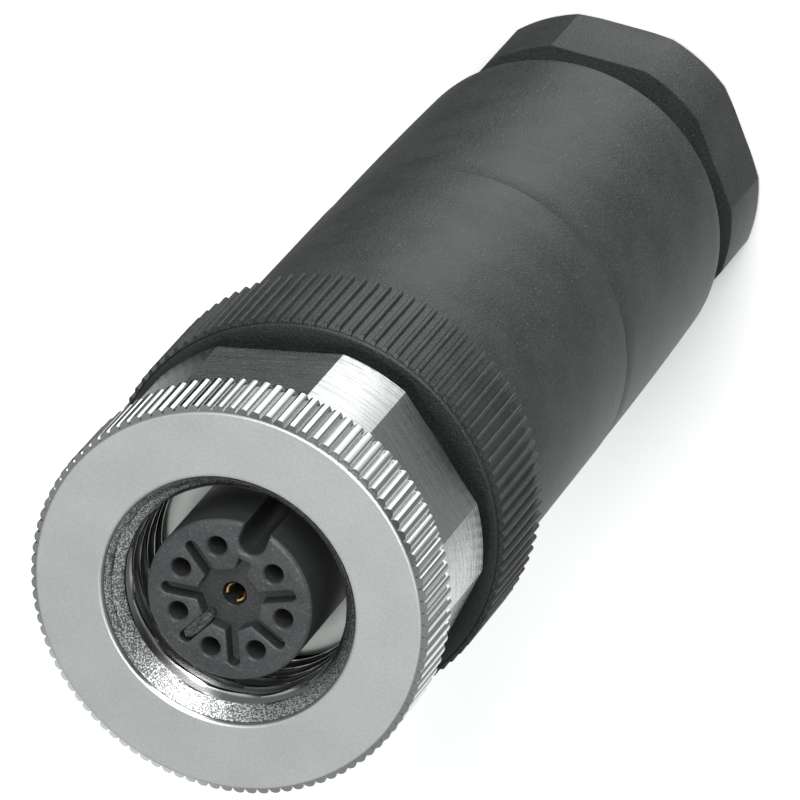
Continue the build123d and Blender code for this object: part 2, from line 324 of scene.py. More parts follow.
def merged_angles(*groups: Array) -> Array:
    """One ascending array of the given angles, with near doubles left out."""
    angles = np.sort(np.concatenate(groups) % FULL_TURN)
    return angles[np.diff(angles, prepend=-1.0) > SAME_ANGLE]


def math_operator(operation: str, swapped: bool = False) -> Callable:
    """Operator of a wire that adds a Math node, with its values swapped if the wire is on the right."""

    def operator(self: "Wire", other: "Wire | float") -> "Wire":
        """Math node on the two values."""
        values = {0: other, 1: self} if swapped else {0: self, 1: other}
        return self.graph.add("ShaderNodeMath", values, operation=operation)

    return operator


@dataclass(eq=False)
class Wire:
    """Output socket of a node, on which Python's arithmetic adds Math nodes."""

    graph: "Graph"
    socket: bpy.types.NodeSocket

    def out(self, name: str) -> "Wire":
        """Another output of the same node."""
        return Wire(self.graph, self.socket.node.outputs[name])

    __add__ = __radd__ = math_operator("ADD")
    __mul__ = __rmul__ = math_operator("MULTIPLY")
    __sub__ = math_operator("SUBTRACT")
    __rsub__ = math_operator("SUBTRACT", swapped=True)
    __pow__ = math_operator("POWER")

    def rise(self, low: float, high: float) -> "Wire":
        """Smooth step from 0 at one value to 1 at another."""
        values = {"Value": self, "From Min": low, "From Max": high}
        return self.graph.add("ShaderNodeMapRange", values, interpolation_type="SMOOTHSTEP")

    def within(self, low: float, high: float, soft: float) -> "Wire":
        """Mask that is 1 between two values and falls to 0 over a soft edge on either side."""
        return self.rise(low - soft, low) * (1 - self.rise(high, high + soft))


class Graph:
    """Node tree that is filled by one method."""

    def __init__(self, tree: bpy.types.NodeTree) -> None:
        """Empty the tree."""
        self.tree = tree
        tree.nodes.clear()

    def add(self, kind: str, values: dict | None = None, output: int | str = 0, **settings: str) -> Wire:
        """Add a node.

        Args:
            kind: Type of the node.
            values: Values or wires of its inputs, by name or index.
            output: Name or index of the output that is returned.
            settings: Attributes of the node, set before its sockets.

        Returns:
            The chosen output.
        """
        node = self.tree.nodes.new(kind)
        for key, value in settings.items():
            setattr(node, key, value)
        for key, value in (values or {}).items():
            if isinstance(value, Wire):
                self.tree.links.new(value.socket, node.inputs[key])
            else:
                node.inputs[key].default_value = value
        return Wire(self, node.outputs[output] if node.outputs else None)

    def place_mm(self) -> Wire:
        """Position on the object in millimetres."""
        place = self.add("ShaderNodeTexCoord", output="Object")
        return self.add("ShaderNodeVectorMath", {0: place, "Scale": MM_PER_METRE}, operation="SCALE")

    def noise(
        self, place: Wire, grain_mm: float, detail: float = 2.0, stretch: tuple = (1.0, 1.0, 1.0)
    ) -> Wire:
        """Noise of about 0 to 1 with a grain in millimetres, squeezed along each axis by the stretch."""
        scaled = self.add("ShaderNodeVectorMath", {0: place, 1: stretch}, operation="MULTIPLY")
        values = {"Vector": scaled, "Scale": 1 / grain_mm, "Detail": detail}
        return self.add("ShaderNodeTexNoise", values)

    def blend(self, share: Wire, *ends: "Wire | tuple") -> Wire:
        """Colour between two ends, each a wire or a colour."""
        low, high = (end if isinstance(end, Wire) else (*end, 1.0) for end in ends)
        values = {0: share, MIX_LOW: low, MIX_HIGH: high}
        return self.add("ShaderNodeMix", values, MIX_OUT, data_type="RGBA")

    def surface(self, values: dict, relief_mm: Wire) -> None:
        """Close the tree with a principled shader whose normal follows a relief in millimetres."""
        bump = {"Height": relief_mm, "Distance": METRES_PER_MM, "Strength": 1.0}
        normal = self.add("ShaderNodeBump", bump)
        shader = self.add("ShaderNodeBsdfPrincipled", {**values, "Normal": normal})
        self.add("ShaderNodeOutputMaterial", {"Surface": shader})


def new_material(name: str) -> tuple[bpy.types.Material, Graph]:
    """Empty material and its graph."""
    material = bpy.data.materials.new(name)
    material.use_nodes = True
    return material, Graph(material.node_tree)


def shaded(shade: tuple, factor: float) -> tuple:
    """Colour made lighter or darker by a factor."""
    return tuple(min(1.0, part * factor) for part in shade)


def weighted(masks: tuple, shares: tuple, base: float = 0.0) -> Wire:
    """Base plus the sum of the masks, each times its share."""
    return sum((mask * share for mask, share in zip(masks, shares)), base)


@dataclass(frozen=True)
class MouldedPlastic:
    """Moulded plastic with a fine grain, a faint mottle and pale specks, and painted shade between two
    heights if asked.
    """

    name: str
    shade: tuple
    roughness: float = 0.47
    grain_mm: float = 0.13
    grain_depth: float = 0.026
    mottle: float = 0.35
    specks: float = 1.0
    painted_shade_low_z: float = 0.0
    painted_shade_high_z: float = 0.0
    painted_shade_strength: float = 0.0
    cloud_mm: float = 2.6
    fine_range: tuple = (0.3, 0.75)
    cloud_range: tuple = (0.3, 0.7)
    shares: tuple = (0.6, 0.4)
    speck_size: float = 0.9
    speck_range: tuple = (0.66, 0.74)
    paleness: float = 2.6
    cloud_depth: float = 1.5
    gloss_swing: float = 0.16

    def make(self) -> bpy.types.Material:
        """Material whose colour and gloss wander with the grain, with painted shade that darkens it between
        two heights.
        """
        material, graph = new_material(self.name)
        place = graph.place_mm()
        height = graph.add("ShaderNodeSeparateXYZ", {0: place}, output="Z")
        fine = graph.noise(place, self.grain_mm, 1.5)
        cloud = graph.noise(place, self.cloud_mm, 3.0)
        share = weighted((fine.rise(*self.fine_range), cloud.rise(*self.cloud_range)), self.shares)
        colour = graph.blend(share, shaded(self.shade, 1 - self.mottle), shaded(self.shade, 1 + self.mottle))
        speck = graph.noise(place, self.grain_mm * self.speck_size, 1.0).rise(*self.speck_range)
        colour = graph.blend(speck * self.specks, colour, shaded(self.shade, self.paleness))
        # Painted shade: between the two heights the colour is blended towards black, standing in for shade
        # in recesses.
        dark = height.within(self.painted_shade_low_z, self.painted_shade_high_z, 0.08) * self.painted_shade_strength
        colour = graph.blend(dark, colour, (0.0, 0.0, 0.0))
        relief = fine * self.grain_depth + cloud * self.grain_depth * self.cloud_depth
        rough = fine * self.gloss_swing + (self.roughness - self.gloss_swing / 2)
        graph.surface({"Base Color": colour, "Roughness": rough}, relief)
        return material


@dataclass(frozen=True)
class TurnedNickel:
    """Nickel plate over turned brass: satin face, turned sides, rough bevel and bright thread.

    The marks-and-shade shares darken the colour at the lip, streaks, tooth ends, spots and thread groove:
    the streaks and spots are turning marks and bevel pits, the lip and tooth ends are painted shade, and the
    thread is darker away from its crests. The rough shares are those of the face, hexagon, bevel, grain and
    clouds.
    """

    name: str = "satin_nickel"
    face_z: float = 57.5
    band_rear_z: float = 53.8
    side_r: float = 8.6
    bevel_outer_r: float = 6.25
    bevel_rear_z: float = 56.6
    crest_r: float = 5.5
    lip_low_r: float = 6.27
    lip_high_r: float = 6.36
    lip_z: float = 57.2
    rim_r: float = 9.6
    rim_z: float = 57.33
    dark: tuple = (0.08, 0.08, 0.078)
    low: tuple = (0.66, 0.685, 0.66)
    high: tuple = (0.79, 0.815, 0.79)
    hard: float = 0.02
    soft: float = 0.05
    wide: float = 0.1
    grain: float = 0.0012
    side_lines: float = 0.003
    hexagon_lines: float = 0.014
    pits: float = 0.02
    marks_and_shade_shares: tuple = (0.75, 0.22, 0.45, 0.85, 0.8)
    rough_shares: tuple = (0.18, 0.08, 0.12, 0.05, 0.04)
    roughness: float = 0.15

    def make(self) -> bpy.types.Material:
        """Material whose relief is chosen by the place on the nut."""
        material, graph = new_material(self.name)
        place = graph.place_mm()
        split = graph.add("ShaderNodeSeparateXYZ", {0: place})
        height = split.out("Z")
        radius = (split.out("X") ** 2 + split.out("Y") ** 2) ** 0.5
        face = height.rise(self.face_z - self.soft, self.face_z - self.hard)
        side = radius.rise(self.side_r - self.wide, self.side_r) * (1 - face)
        hexagon = side * (1 - height.rise(self.band_rear_z - self.soft, self.band_rear_z))
        mouth = 1 - radius.rise(self.bevel_outer_r, self.bevel_outer_r + self.soft)
        bevel = mouth * height.rise(self.bevel_rear_z - self.wide, self.bevel_rear_z)
        lip_top = height.rise(self.lip_z - self.wide, self.lip_z)
        fine = graph.noise(place, 0.12, 3.0)
        lines = graph.noise(place, 0.13, 2.0, (0.06, 0.06, 1.0))
        specks = graph.noise(place, 0.08, 2.0)
        cloud = graph.noise(place, 3.0)
        turning = lines * weighted((side, hexagon), (self.side_lines, self.hexagon_lines))
        relief = fine * (self.grain + face * self.grain) + turning + specks * bevel * self.pits
        colour = graph.blend(fine.rise(0.3, 0.7) * 0.5 + cloud * 0.5, self.low, self.high)
        # Painted shade: a thin dark ring round the mouth's lip, just below the face.
        lip = radius.within(self.lip_low_r, self.lip_high_r, 0.03) * (1 - face) * lip_top
        streaks = lines.rise(0.50, 0.62) * hexagon
        # Painted shade: the knurl's tooth ends at the front rim are darkened, standing in for the dark they
        # mirror.
        ends = radius.rise(self.rim_r, self.rim_r + self.hard) * height.rise(self.rim_z - 0.06, self.rim_z)
        groove = radius.rise(self.crest_r, self.crest_r + 0.12) * (mouth * (1 - bevel))
        spots = specks.rise(0.42, 0.54) * bevel
        # Darkened by turning streaks and bevel pits, which are marks of the metal, by painted shade at the
        # lip and tooth ends, and away from the thread's crests.
        marks_and_shade = weighted((lip, streaks, ends, spots, groove), self.marks_and_shade_shares)
        colour = graph.blend(marks_and_shade, colour, self.dark)
        rough = weighted((face, hexagon, bevel, fine, cloud), self.rough_shares, self.roughness)
        graph.surface({"Base Color": colour, "Metallic": 1.0, "Roughness": rough}, relief)
        return material


@dataclass(frozen=True)
class PlainMetal:
    """Plated or drawn metal with faint cloudy variation."""

    name: str
    shade: tuple
    roughness: float
    grain_mm: float = 0.1
    grain_depth: float = 0.001
    cloud_mm: float = 1.5
    factors: tuple = (0.88, 1.08)
    rough_shares: tuple = (0.1, 0.06)

    def make(self) -> bpy.types.Material:
        """Metallic material with a little wander in its colour and gloss."""
        material, graph = new_material(self.name)
        place = graph.place_mm()
        fine = graph.noise(place, self.grain_mm, 2.0)
        cloud = graph.noise(place, self.cloud_mm)
        colour = graph.blend(cloud, *(shaded(self.shade, factor) for factor in self.factors))
        rough = weighted((fine, cloud), self.rough_shares, self.roughness)
        graph.surface({"Base Color": colour, "Metallic": 1.0, "Roughness": rough}, fine * self.grain_depth)
        return material


@dataclass(frozen=True)
class PaleFloor:
    """Pale matt floor with a barely visible mottle."""

    name: str = "pale_floor"
    low: tuple = (0.86, 0.87, 0.87)
    high: tuple = (0.90, 0.905, 0.905)
    cloud_mm: float = 40.0
    grain_mm: float = 1.0
    grain_depth: float = 0.002
    roughness: float = 0.9
    glow: float = 0.35

    def make(self) -> bpy.types.Material:
        """Matt material."""
        material, graph = new_material(self.name)
        place = graph.place_mm()
        colour = graph.blend(graph.noise(place, self.cloud_mm), self.low, self.high)
        values = {"Base Color": colour, "Roughness": self.roughness}
        values |= {"Emission Color": colour, "Emission Strength": self.glow}
        graph.surface(values, graph.noise(place, self.grain_mm) * self.grain_depth)
        return material


@dataclass
class CouplingNut:
    """Knurled and hexagonal nut with its internal thread.

    The inside lists the radius, height and ease of the stations behind the thread.
    """

    face_z: float = 57.5
    knurl_rear_z: float = 53.8
    rear_z: float = 48.0
    rim_r: float = 9.6
    front_cut: float = 0.17
    guard: float = 0.10
    rear_cut: float = 0.14
    mouth_r: float = 6.44
    lip_r: float = 6.22
    lip_drop: float = 0.18
    thread_end_z: float = 51.12
    inside: tuple = ((6.1, 51.12), (6.1, 50.0, 0.15), (5.15, 50.0, 0.05), (5.15, 48.0, 0.1))
    knurl_foot: float = 0.02
    knurl_gap: float = 0.005
    thread_step: float = 0.08
    thread: Thread = Thread(crest_r=5.46, root_r=6.0)
    hexagon: Hexagon = Hexagon(18.0, 9.55, from_key(-5.3))
    knurl: Teeth = Teeth(
        100, (0, 0.13, 0.21, 0.34, 0.5, 0.66, 0.79, 0.87), (9.65, 9.85, 9.9, 9.94, 9.95, 9.94, 9.9, 9.85)
    )

    def build(self) -> Piece:
        """Carry the profile round, with the front cut's cone meeting each tooth where it is as high."""
        shell = TurnedShell(merged_angles(self.knurl.angles(), self.hexagon.edges()))
        teeth = self.knurl.radius(shell.angles)
        flats = self.hexagon.radius(shell.angles)
        tip_r = max(self.knurl.radii)
        root_r = min(self.knurl.radii)
        front_slope = self.front_cut / (tip_r - self.rim_r)
        rear_slope = self.rear_cut / (tip_r - root_r)
        shell.through(
            (self.rim_r, self.face_z, 0.03), (self.rim_r - self.guard, self.face_z),
            (self.mouth_r + self.guard, self.face_z), (self.mouth_r, self.face_z, 0.05),
        )
        self.add_mouth(shell)
        shell.through(*self.inside)
        shell.through(
            (flats, self.rear_z, 0.1), (flats, self.knurl_rear_z, 0.04),
            (root_r - self.knurl_foot, self.knurl_rear_z),
            (teeth, self.knurl_rear_z + (teeth - root_r) * rear_slope + self.knurl_gap),
            (teeth, self.face_z - (teeth - self.rim_r) * front_slope),
        )
        return shell.build("nut_shell", crease=14.0)

    def add_mouth(self, shell: TurnedShell) -> None:
        """Bevel and thread: at each height the wider of the bevel's cone and the thread."""
        bevel_top = self.face_z - self.lip_drop
        shell.to(self.lip_r, bevel_top, 0.02)
        steps = round((bevel_top - self.thread_end_z) / self.thread_step)
        for height in np.linspace(bevel_top, self.thread_end_z, steps + 1)[1:]:
            cone = self.lip_r - (bevel_top - height)
            shell.to(np.maximum(cone, self.thread.radius(shell.angles, height)), height)


@dataclass
class GripRing:
    """Contact carrier: ribbed ring, flange and collar in front, threaded spigot behind.

    The collar lists the radius, height and ease of the stations from the flange to the foot of the bore.
    """

    front_z: float = 46.7
    rear_z: float = 40.6
    band_r: float = 9.87
    band_cut: float = 0.12
    rib_end_z: float = 46.6
    counterbore_r: float = 5.8
    spigot_end_z: float = 33.9
    seal_groove_r: float = 6.85
    seal_groove_z: float = 39.5
    thread_low_z: float = 34.3
    thread_high_z: float = 39.2
    rear_cut: float = 0.1
    rear_cut_height: float = 0.12
    rib_end_slope: float = 0.6
    rib_foot: float = 0.02
    collar: tuple = (
        (8.3, 46.7, 0.1), (8.3, 47.8, 0.1), (5.05, 47.8, 0.05), (5.05, 50.05, 0.05), (3.92, 50.05, 0.03),
        (3.92, 45.5), (5.8, 45.5),
    )
    thread: Thread = Thread(crest_r=7.8, root_r=7.25)
    ribs: Teeth = Teeth(
        100, (0.0, 0.10, 0.17, 0.25, 0.75, 0.83, 0.90), (10.1, 10.09, 10.05, 9.88, 9.88, 10.05, 10.09)
    )

    def build(self) -> Piece:
        """Carry the profile round, with the ribs as a change of radius between two heights."""
        shell = TurnedShell(merged_angles(self.ribs.angles()))
        ribs = self.ribs.radius(shell.angles)
        shell.to(self.counterbore_r, self.spigot_end_z)
        shell.to(self.thread.root_r, self.spigot_end_z, 0.1)
        self.thread.cut(shell, self.thread_low_z, self.thread_high_z)
        shell.through(
            (self.seal_groove_r, self.seal_groove_z), (self.seal_groove_r, self.rear_z),
            (self.band_r - self.rear_cut, self.rear_z), (ribs, self.rear_z + self.rear_cut_height, 0.04),
            (ribs, self.rib_end_z - (ribs - self.band_r) * self.rib_end_slope, 0.06),
            (self.band_r, self.rib_end_z + self.rib_foot),
            (self.band_r, self.front_z - self.band_cut, 0.08),
            (self.band_r - self.band_cut, self.front_z, 0.08),
        )
        shell.through(*self.collar)
        return shell.build("grip_ring", crease=26.0)


@dataclass
class SleeveShell:
    """Tapered sleeve with a faint step where its two mould halves meet.

    The inside lists the radius, height and ease of its stations, from the rear thread to the seal's bore.
    """

    front_z: float = 40.55
    rear_z: float = 7.4
    front_r: float = 9.06
    crease_r: float = 8.95
    crease_z: float = 23.8
    crease_width: float = 0.10
    crease_depth: float = 0.07
    crease_step: float = 0.04
    middle_r: float = 8.83
    middle_z: float = 15.0
    end_r: float = 8.65
    taper_end: float = 1.0
    columns: int = 256
    inside: tuple = (
        (7.08, 7.4, 0.25), (7.08, 16.0), (6.6, 16.0), (6.6, 22.0), (4.7, 22.0, 0.2), (4.7, 23.4, 0.2),
        (7.5, 25.0), (7.5, 33.55), (7.88, 33.55), (7.88, 38.95), (8.15, 39.22), (8.15, 40.55, 0.15),
    )

    def build(self) -> Piece:
        """Carry the wall's closed section round the axis."""
        shell = TurnedShell(np.linspace(0, FULL_TURN, self.columns, endpoint=False))
        shell.through((self.end_r, self.rear_z, 0.35), *self.inside)
        shell.through(
            (self.front_r, self.front_z, 0.12), (self.crease_r, self.crease_z + self.crease_width, 0.02),
            (self.crease_r - self.crease_depth, self.crease_z),
            (self.crease_r - self.crease_step, self.crease_z - self.crease_width),
        )
        for share in np.linspace(0.1, 1.0, 9):
            height = self.crease_z + share * (self.rear_z + self.taper_end - self.crease_z)
            shell.to(self.taper(height), height)
        return shell.build("sleeve_shell", crease=20.0)

    def taper(self, height: float) -> float:
        """Radius behind the crease: the parabola through the crease, the middle and the end."""
        heights = (self.crease_z, self.middle_z, self.rear_z)
        radii = (self.crease_r - self.crease_step, self.middle_r, self.end_r)
        return float(np.polyval(np.polyfit(heights, radii, 2), height))


@dataclass
class PressureScrew:
    """Cable clamp screw: hexagon head with a flared entry and a threaded hollow neck.

    The inside lists the radius, height and ease of the stations from the neck's end to the entry.
    """

    head_z: float = 4.8
    rear_cut_r: float = 8.08
    rear_cut_slope: float = 0.7
    neck_end_z: float = 13.6
    runout_r: float = 6.6
    runout_z: float = 6.0
    entry_r: float = 4.5
    flare: float = 0.9
    inside: tuple = ((5.8, 13.6, 0.1), (5.8, 6.9), (4.5, 5.6, 0.2))
    end_gap: float = 0.02
    least_cut: float = 0.03
    runout_cut: float = 0.2
    thread_low_z: float = 6.4
    thread_high_z: float = 13.1
    flare_steps: int = 7
    columns: int = 240
    thread: Thread = Thread(crest_r=7.0, root_r=6.45)
    hexagon: Hexagon = Hexagon(16.0, 8.4, from_key(-18.1))

    def build(self) -> Piece:
        """Carry the closed profile round, with the head's radius following the hexagon."""
        turned = np.linspace(0, FULL_TURN, self.columns, endpoint=False)
        shell = TurnedShell(merged_angles(turned, self.hexagon.edges()))
        flats = self.hexagon.radius(shell.angles)
        cut = np.maximum(flats - self.rear_cut_r, self.least_cut) * self.rear_cut_slope
        shell.through(
            (self.entry_r + self.flare, 0.0), (np.minimum(flats - self.end_gap, self.rear_cut_r), 0.0),
            (flats, cut, 0.01), (flats, self.head_z, 0.07), (self.runout_r, self.head_z, 0.15),
            (self.runout_r, self.runout_z), (self.thread.root_r, self.runout_z + self.runout_cut),
        )
        self.thread.cut(shell, self.thread_low_z, self.thread_high_z)
        shell.to(self.thread.root_r, self.neck_end_z, 0.1)
        shell.through(*self.inside)
        for share in np.linspace(0.0, 1.0, self.flare_steps)[:-1]:
            swing = share * np.pi / 2
            shell.to(self.entry_r + self.flare * (1 - np.cos(swing)), self.flare * (1 - np.sin(swing)))
        return shell.build("clamp_screw", crease=16.0)


def offset_outline(outline: Array, distance: float) -> Array:
    """Outline moved outwards, each corner along the mean of its two normals, and further if it is sharp."""
    run = np.roll(outline, -1, 0) - outline
    normal = np.stack([run[:, 1], -run[:, 0]], -1) / np.linalg.norm(run, axis=1, keepdims=True)
    mean = normal + np.roll(normal, 1, 0)
    mean /= np.linalg.norm(mean, axis=1, keepdims=True)
    reach = 1 / np.maximum(np.sum(mean * normal, 1, keepdims=True), 0.5)
    return outline + mean * reach * distance


class Patchwork:
    """Patches between outlines that are welded into one closed mesh."""

    def __init__(self) -> None:
        """Start with no patches."""
        self.points: list[Array] = []
        self.faces: list[list[int]] = []
        self.count = 0

    def keep(self, points: Array) -> int:
        """Store points and return the index of the first."""
        first = self.count
        self.points.append(points)
        self.count += len(points)
        return first

    def wall(self, outlines: list[tuple[Array, float]]) -> None:
        """Join outlines of equal counts, each with its height, by a ruled surface."""
        levels = [np.column_stack([flat, np.full(len(flat), height)]) for flat, height in outlines]
        first = self.keep(np.concatenate(levels))
        self.faces += (grid_faces(len(levels), len(levels[0]), False) + first).tolist()

    def plate(self, outlines: list[Array], height: float) -> None:
        """Fill between an outline and the holes in it."""
        flat = np.concatenate(outlines)
        first = self.keep(np.column_stack([flat, np.full(len(flat), height)]))
        loops = [[Vector((x, y, 0.0)) for x, y in outline] for outline in outlines]
        self.faces += [[first + corner for corner in corners] for corners in tessellate_polygon(loops)]

    def build(self, name: str, crease: float) -> Piece:
        """Weld the patches and make the object."""
        return write_mesh(name, np.concatenate(self.points), self.faces, crease, weld=True)


@dataclass
class ContactInsert:
    """Keyed insert with seven ways on a circle, a central way and a star-shaped pocket."""

    face_z: float = 57.3
    foot_z: float = 50.55
    rear_z: float = 36.5
    nose_r: float = 4.13
    groove_r: float = 3.75
    rim: float = 0.2
    key_half: float = 0.65
    key_centre_r: float = 3.32
    pocket_depth: float = 0.8
    pocket_edge: float = 0.07
    pocket_corner_r: float = 1.62
    arm_half: float = 0.3
    arm_end_r: float = 3.4
    key_arm_end_r: float = 2.25
    way_circle_r: float = 2.75
    way_r: float = 0.6
    lip_r: float = 0.46
    lip_foot_z: float = 55.4
    way_step: float = 49.0
    way_edge: float = 0.03
    sides: int = 40
    lip_steps: tuple[Pair, ...] = ((0.11, 0.0), (0.08, 0.02), (0.02, 0.12), (0.0, 0.16))
    root: tuple[Pair, ...] = (
        (3.75, 50.05), (3.90, 50.05), (3.90, 45.5), (4.7, 45.5), (4.7, 44.45), (5.75, 44.45), (5.75, 36.5),
    )

    def way_angles(self) -> Array:
        """Angles of the seven ways, spread evenly to both sides of the point opposite the key."""
        return from_key(180.0 + self.way_step * np.arange(-3, 4))

    def way_places(self) -> list[Pair]:
        """Centres of the seven ways on the circle, then of the central way."""
        return [tuple(place) for place in polar(self.way_circle_r, self.way_angles())] + [(0.0, 0.0)]

    def circle(self, centre: Pair, radius: float) -> Array:
        """Outline of a way."""
        return np.array(centre) + polar(radius, np.linspace(0, FULL_TURN, self.sides, endpoint=False))

    def arcs(self, radius: float) -> tuple[Array, Array]:
        """Two arcs of a circle that meet on the keyway's sides: the long one, and the one across it."""
        half_mouth = np.arcsin(self.key_half / radius)
        long_arc = polar(radius, np.linspace(half_mouth, FULL_TURN - half_mouth, 241) + KEY_ANGLE)
        short_arc = polar(radius, np.linspace(-half_mouth, half_mouth, 11)[1:-1] + KEY_ANGLE)
        return long_arc, short_arc

    def keyway(self) -> Array:
        """Outline of the keyway's round floor, from one side to the other."""
        bend = np.linspace(-np.pi / 2, -3 * np.pi / 2, 19)
        along = self.key_centre_r + self.key_half * np.cos(bend)
        across = self.key_half * np.sin(bend)
        return turned(np.column_stack([along, across]), KEY_ANGLE)

    def pocket(self) -> Array:
        """Outline of the pocket: six arms with round ends, one short square arm, straight runs between."""
        foot = np.sqrt(self.pocket_corner_r**2 - self.arm_half**2)
        bend = np.linspace(-np.pi / 2, np.pi / 2, 13)
        end_centre = self.arm_end_r - self.arm_half
        cap = np.column_stack([end_centre + self.arm_half * np.cos(bend), self.arm_half * np.sin(bend)])
        long_arm = np.concatenate([[(foot, -self.arm_half)], cap, [(foot, self.arm_half)]])
        half = self.arm_half
        short_end = self.key_arm_end_r
        short_arm = np.array([(foot, -half), (short_end, -half), (short_end, half), (foot, half)])
        arms = [(KEY_ANGLE, short_arm)]
        arms += [(angle + np.radians(self.way_step / 2), long_arm) for angle in self.way_angles()[:-1]]
        return np.concatenate([turned(arm, angle) for angle, arm in arms])

    def eased(self, outline: Array, width: float, steps: int) -> list[tuple[Array, float]]:
        """Outlines of an edge that is rounded from the face down, outside the outline for a width above 0.

        Each step is moved and lowered by the circle's sine and cosine.
        """
        swing = np.linspace(0.0, np.pi / 2, steps)
        drops = abs(width) * (1 - np.cos(swing))
        moves = width * (1 - np.sin(swing))
        return [(offset_outline(outline, move), self.face_z - drop) for move, drop in zip(moves, drops)]

    def add_way(self, patch: Patchwork, place: Pair) -> Array:
        """Sunk lip, narrow mouth and straight way down to the rear, returning the outline on the face."""
        steps = [(self.lip_r + wider, self.face_z - drop) for wider, drop in self.lip_steps]
        steps += [(self.lip_r, self.lip_foot_z), (self.way_r, self.lip_foot_z), (self.way_r, self.rear_z)]
        patch.wall([(self.circle(place, radius), height) for radius, height in steps])
        return self.circle(place, steps[0][0])

    def add_centre_way(self, patch: Patchwork, top_z: float) -> Array:
        """Straight way down the middle, returning the outline on the pocket's floor."""
        centre = (0.0, 0.0)
        mouth = self.circle(centre, self.way_r + self.way_edge)
        edge_z = top_z - self.way_edge
        patch.wall([(mouth, top_z), (self.circle(centre, self.way_r), edge_z)])
        patch.wall([(self.circle(centre, self.way_r), height) for height in (edge_z, self.rear_z)])
        return mouth

    def build(self) -> Piece:
        """Face, pocket, ways, keyed nose, groove, stepped root and rear, welded into one closed mesh."""
        patch = Patchwork()
        nose_long, _ = self.arcs(self.nose_r)
        groove_long, groove_short = self.arcs(self.groove_r)
        keyway = np.concatenate([groove_long[-1:], self.keyway(), groove_long[:1]])
        keyed = np.concatenate([nose_long, keyway])
        groove = np.concatenate([groove_long, groove_short])
        floor_z = self.face_z - self.pocket_depth
        rim = self.eased(keyed, -self.rim, 5)
        patch.wall(rim + [(keyed, self.foot_z)])
        pocket_edge = self.eased(self.pocket(), self.pocket_edge, 4)
        patch.wall(pocket_edge + [(self.pocket(), floor_z)])
        places = self.way_places()
        mouths = [self.add_way(patch, place) for place in places[:-1]]
        patch.plate([rim[0][0], pocket_edge[0][0], *mouths], self.face_z)
        patch.plate([self.pocket(), self.add_centre_way(patch, floor_z)], floor_z)
        patch.plate([np.concatenate([nose_long, groove_long[::-1]])], self.foot_z)
        patch.plate([np.concatenate([keyway, groove_short[::-1]])], self.foot_z)
        stations = ((self.groove_r, self.foot_z), *self.root)
        patch.wall([(groove * (radius / self.groove_r), height) for radius, height in stations])
        seat = groove * (self.root[-1][0] / self.groove_r)
        patch.plate([seat] + [self.circle(place, self.way_r) for place in places], self.rear_z)
        return patch.build("insert_face", crease=32.0)


def signed_power(value: Array, power: float) -> Array:
    """Size of each value raised to a power, with its own sign."""
    return np.sign(value) * np.abs(value) ** power


@dataclass
class MouldingStub:
    """Torn-off moulding stub that fills most of one arm of the insert's pocket."""

    turn: float = 155.5
    middle_r: float = 2.26
    aside: float = -0.03
    half_length: float = 0.88
    half_width: float = 0.31
    half_height: float = 0.40
    top_z: float = 57.24
    tear: float = 0.035
    rows: int = 31
    columns: int = 84

    def build(self) -> Piece:
        """Box-like ball with a torn skin.

        Each coordinate is a half size times cosines and sines raised to a power below one, and the skin is
        pushed in and out by a sum of sines.
        """
        heights = np.linspace(-np.pi / 2, np.pi / 2, self.rows)
        turns = np.linspace(0, FULL_TURN, self.columns, endpoint=False)
        rise, turn = np.meshgrid(heights, turns, indexing="ij")
        swell = np.abs(np.cos(rise)) ** 0.3
        waves = np.sin(13 * rise + 5 * turn) + np.sin(11 * rise - 9 * turn + 1.0) + np.sin(17 * turn)
        torn = 1 + self.tear * waves
        along = self.half_length * swell * signed_power(np.cos(turn), 0.8) * torn
        across = self.half_width * swell * signed_power(np.sin(turn), 0.5) + self.aside
        height = self.half_height * signed_power(np.sin(rise), 0.4) * torn
        flat = turned(np.stack([self.middle_r + along, across], -1), from_key(self.turn))
        points = np.dstack([flat, height + self.top_z - self.half_height]).reshape(-1, 3)
        return write_mesh("moulding_stub", points, grid_faces(*rise.shape, False).tolist(), 60.0, weld=True)


